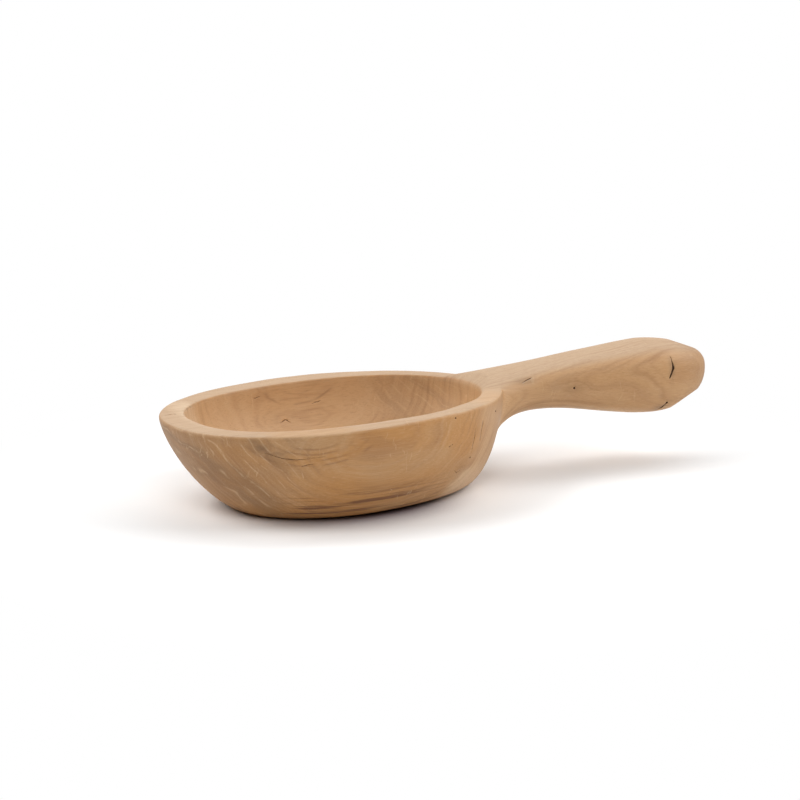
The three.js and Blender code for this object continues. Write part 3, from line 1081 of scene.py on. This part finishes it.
def sanded_wood(material):
    tree, place, seen = read_grain(material)
    find_areas(tree, place, seen)
    base = lay_tones(place, seen)
    base = lay_rings(base, place, seen)
    base = lay_fan(base, place, seen)
    base = lay_streaks(base, place)
    base = lay_fine_marks(base, seen)
    height = seen["Fibre"] * FIBRE_HEIGHT - seen["Pores"] * PORE_DEPTH - seen["Ring"] * RING_HOLLOW
    roughness = SANDED_ROUGHNESS + seen["Fibre"] * FIBRE_ROUGHNESS + seen["Pores"] * PORE_ROUGHNESS
    bump = result(tree, "ShaderNodeBump",
                  {"Strength": RELIEF_STRENGTH, "Distance": RELIEF, "Height": height})
    shader = result(tree, "ShaderNodeBsdfPrincipled",
                    {"Base Color": base, "Roughness": roughness, "Normal": bump})
    add_node(tree, "ShaderNodeOutputMaterial", {"Surface": shader})


sanded_wood(wood)
print("Sanded wood:", len(wood.node_tree.nodes), "nodes")


# %% [markdown]
# ## The raw wood inside the checks
# A crack shows torn fibre with years of dust in it, and it is very rough. Its inside is dark partly
# as that dust and partly as painted shade for the depth of the crack, and the drilled pinholes share
# this material. A plain dark colour would look like ink. The same grain group, in darker colours,
# lets the fibres run on into it.

# %% The material of the checks and pinholes
CHECK_DARK = colour(72, 52, 38)
CHECK_LIGHT = colour(112, 82, 58)
TORN_RANGE = (0.35, 0.7)
TORN_RING = 0.5
TORN_RELIEF = 0.3 * MM
TORN_STRENGTH = 0.8
TORN_ROUGHNESS = 0.85
TORN_GLOSS = 0.2


def shade_and_dust_in_checks(material):
    tree, place, seen = read_grain(material)
    # The inside of a check is dark partly as dust and partly as painted shade for the depth of the crack.
    torn = blend(CHECK_DARK, CHECK_LIGHT, ease(seen["Fibre"], *TORN_RANGE))
    torn = blend(torn, CHECK_DARK, seen["Ring"] * TORN_RING)
    bump = result(tree, "ShaderNodeBump",
                  {"Strength": TORN_STRENGTH, "Distance": TORN_RELIEF, "Height": seen["Fibre"]})
    shader = result(tree, "ShaderNodeBsdfPrincipled", {
        "Base Color": torn, "Roughness": TORN_ROUGHNESS, "Specular IOR Level": TORN_GLOSS,
        "Normal": bump})
    add_node(tree, "ShaderNodeOutputMaterial", {"Surface": shader})


shade_and_dust_in_checks(check_dust_and_shade)
print("Raw wood:", len(check_dust_and_shade.node_tree.nodes), "nodes")


# %% [markdown]
# ## Floor and background
# The scoop stands on a white sweep in a bright studio, and only its own shadow shows on it. A curved
# backdrop would turn grey towards its edges. Instead, a flat floor takes the shadow as a matt surface
# near the scoop, and an Ambient Occlusion node deepens it in the narrow gap under the bowl's long
# sides. Farther out the floor fades to a plain white glow for rays from the camera, so that the floor
# and the background can't be told apart.

# %% A floor that takes the shadow
WHITE = (1.0, 1.0, 1.0, 1.0)
FLOOR_SIZE = 12.0
FLOOR_DROP = 0.2 * MM
FLOOR_COLOUR = (0.98, 0.98, 0.98, 1.0)
CONTACT_SHADOW_COLOUR = (0.2, 0.165, 0.19, 1.0)
CONTACT_REACH = 0.04
CONTACT_RANGE = (0.1, 0.75)
CONTACT_FRONT = (-0.1, 0.0)
CONTACT_BACK = (0.02, 0.1)
SHADOW_MIDDLE = (0.05, -0.03, 0.0)
SHADOW_FADE = (0.16, 0.32)


def seen_directly(tree):
    """1 for what the camera sees, straight or in a reflection."""
    path = tree.nodes.new("ShaderNodeLightPath")
    names = ("Is Camera Ray", "Is Glossy Ray", "Is Transmission Ray")
    camera_ray, glossy_ray, through_ray = (Term(tree, path.outputs[name]) for name in names)
    return share(camera_ray + glossy_ray + through_ray)


def floor_material():
    material = bpy.data.materials.new("studio_floor")
    material.use_nodes = True
    tree = material.node_tree
    tree.nodes.clear()
    place = result(tree, "ShaderNodeTexCoord", output="Object")
    away = vector_math(tree, "DISTANCE", place, SHADOW_MIDDLE)
    far = ease(away, *SHADOW_FADE) * seen_directly(tree)
    # Painted shadow: the floor's colour darkens where Ambient Occlusion finds the scoop close, beside its
    # long sides, as the camera sees it.
    gap = result(tree, "ShaderNodeAmbientOcclusion", {"Distance": CONTACT_REACH}, "AO")
    narrow = 1 - ease(gap, *CONTACT_RANGE)
    x = split(place)[0]
    beside = ease(x, *CONTACT_FRONT) * (1 - ease(x, *CONTACT_BACK))
    tint = blend(FLOOR_COLOUR, CONTACT_SHADOW_COLOUR, narrow * beside * seen_directly(tree))
    matt = result(tree, "ShaderNodeBsdfDiffuse", {"Color": tint})
    glow = result(tree, "ShaderNodeEmission", {"Color": WHITE, "Strength": 1.0})
    both = result(tree, "ShaderNodeMixShader", {0: far, 1: matt, 2: glow})
    add_node(tree, "ShaderNodeOutputMaterial", {"Surface": both})
    return material


def make_floor():
    half = FLOOR_SIZE / 2
    mesh = bpy.data.meshes.new("floor")
    corners = [(-half, -half), (half, -half), (half, half), (-half, half)]
    mesh.from_pydata([(x, y, -FLOOR_DROP) for x, y in corners], [], [(0, 1, 2, 3)])
    mesh.materials.append(floor_material())
    return new_piece("floor", mesh)


floor = make_floor()
print("Floor:", FLOOR_SIZE, "m wide and", round(FLOOR_DROP / MM, 1), "mm below the foot")

# %% A white world behind it
AMBIENT = 0.02


def light_world():
    world = bpy.data.worlds.new("studio")
    bpy.context.scene.world = world
    world.use_nodes = True
    tree = world.node_tree
    tree.nodes.clear()
    strength = mix(AMBIENT, 1.0, seen_directly(tree))
    glow = result(tree, "ShaderNodeBackground", {"Color": WHITE, "Strength": strength})
    add_node(tree, "ShaderNodeOutputWorld", {"Surface": glow})


light_world()
print("World: white to the camera, and", AMBIENT, "as a light")

# %% [markdown]
# ## Soft light
# The photograph's shadow is soft and lies close in front of the bowl, while its two ends stand on
# white. That takes a wide softbox high behind the scoop, which draws the shadow forward, and one on
# each side, which clear the shadow from the ends. A weak one beside the camera keeps the near wall
# from going dull, together with the light that the white floor throws back.

# %% Softboxes
LIGHT_CENTRE = Vector((0.08, 0.0, 0.03))
LIGHT_DISTANCE = 1.6
# Each has its azimuth, elevation, width, height and power
SOFTBOXES = {
    "back_softbox": (152.3, 62, 2.6, 0.8, 18.0),
    "left_softbox": (-117.7, 42, 0.9, 0.9, 14.0),
    "right_softbox": (62.3, 37, 0.9, 0.9, 14.0),
    "front_softbox": (-27.7, 40, 0.7, 0.7, 7.0),
}


def toward(azimuth, elevation):
    """A direction; azimuth 0 is in front of the near wall, and turns towards the handle."""
    turn, rise = math.radians(azimuth), math.radians(elevation)
    return Vector((math.sin(turn) * math.cos(rise), -math.cos(turn) * math.cos(rise), math.sin(rise)))


def aim(name, data, centre, direction, distance):
    """Adds a lamp or a camera that looks at a centre from a direction."""
    thing = bpy.data.objects.new(name, data)
    thing.location = centre + direction * distance
    thing.rotation_euler = (-direction).to_track_quat("-Z", "Y").to_euler()
    bpy.context.scene.collection.objects.link(thing)
    return thing


for name, (azimuth, elevation, width, height, power) in SOFTBOXES.items():
    lamp = bpy.data.lights.new(name, "AREA")
    lamp.shape = "RECTANGLE"
    lamp.size = width
    lamp.size_y = height
    lamp.energy = power
    aim(name, lamp, LIGHT_CENTRE, toward(azimuth, elevation), LIGHT_DISTANCE)
print("Softboxes:", len(SOFTBOXES), "of", sum(sizes[-1] for sizes in SOFTBOXES.values()), "W in all")

# %% [markdown]
# ## Camera
# The view is from the near left and a little above, with a long lens. Its place was found by fitting
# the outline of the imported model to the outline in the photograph.

# %% The photograph's view
VIEW_CENTRE = Vector((0.1584, 0.2124, 0.0))
AZIMUTH = -27.7
ELEVATION = 13.29
DISTANCE = 1.7915
LENS = 108.0
SENSOR = 36.0

camera = bpy.data.cameras.new("camera")
camera.sensor_width = SENSOR
camera.lens = LENS
bpy.context.scene.camera = aim("camera", camera, VIEW_CENTRE, toward(AZIMUTH, ELEVATION), DISTANCE)
bpy.context.scene.view_settings.view_transform = "Standard"
print("Camera:", LENS, "mm lens,", DISTANCE, "m from where it looks")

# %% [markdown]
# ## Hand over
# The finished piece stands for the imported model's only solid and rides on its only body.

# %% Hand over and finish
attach(scoop, "root")
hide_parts("carved_scoop")
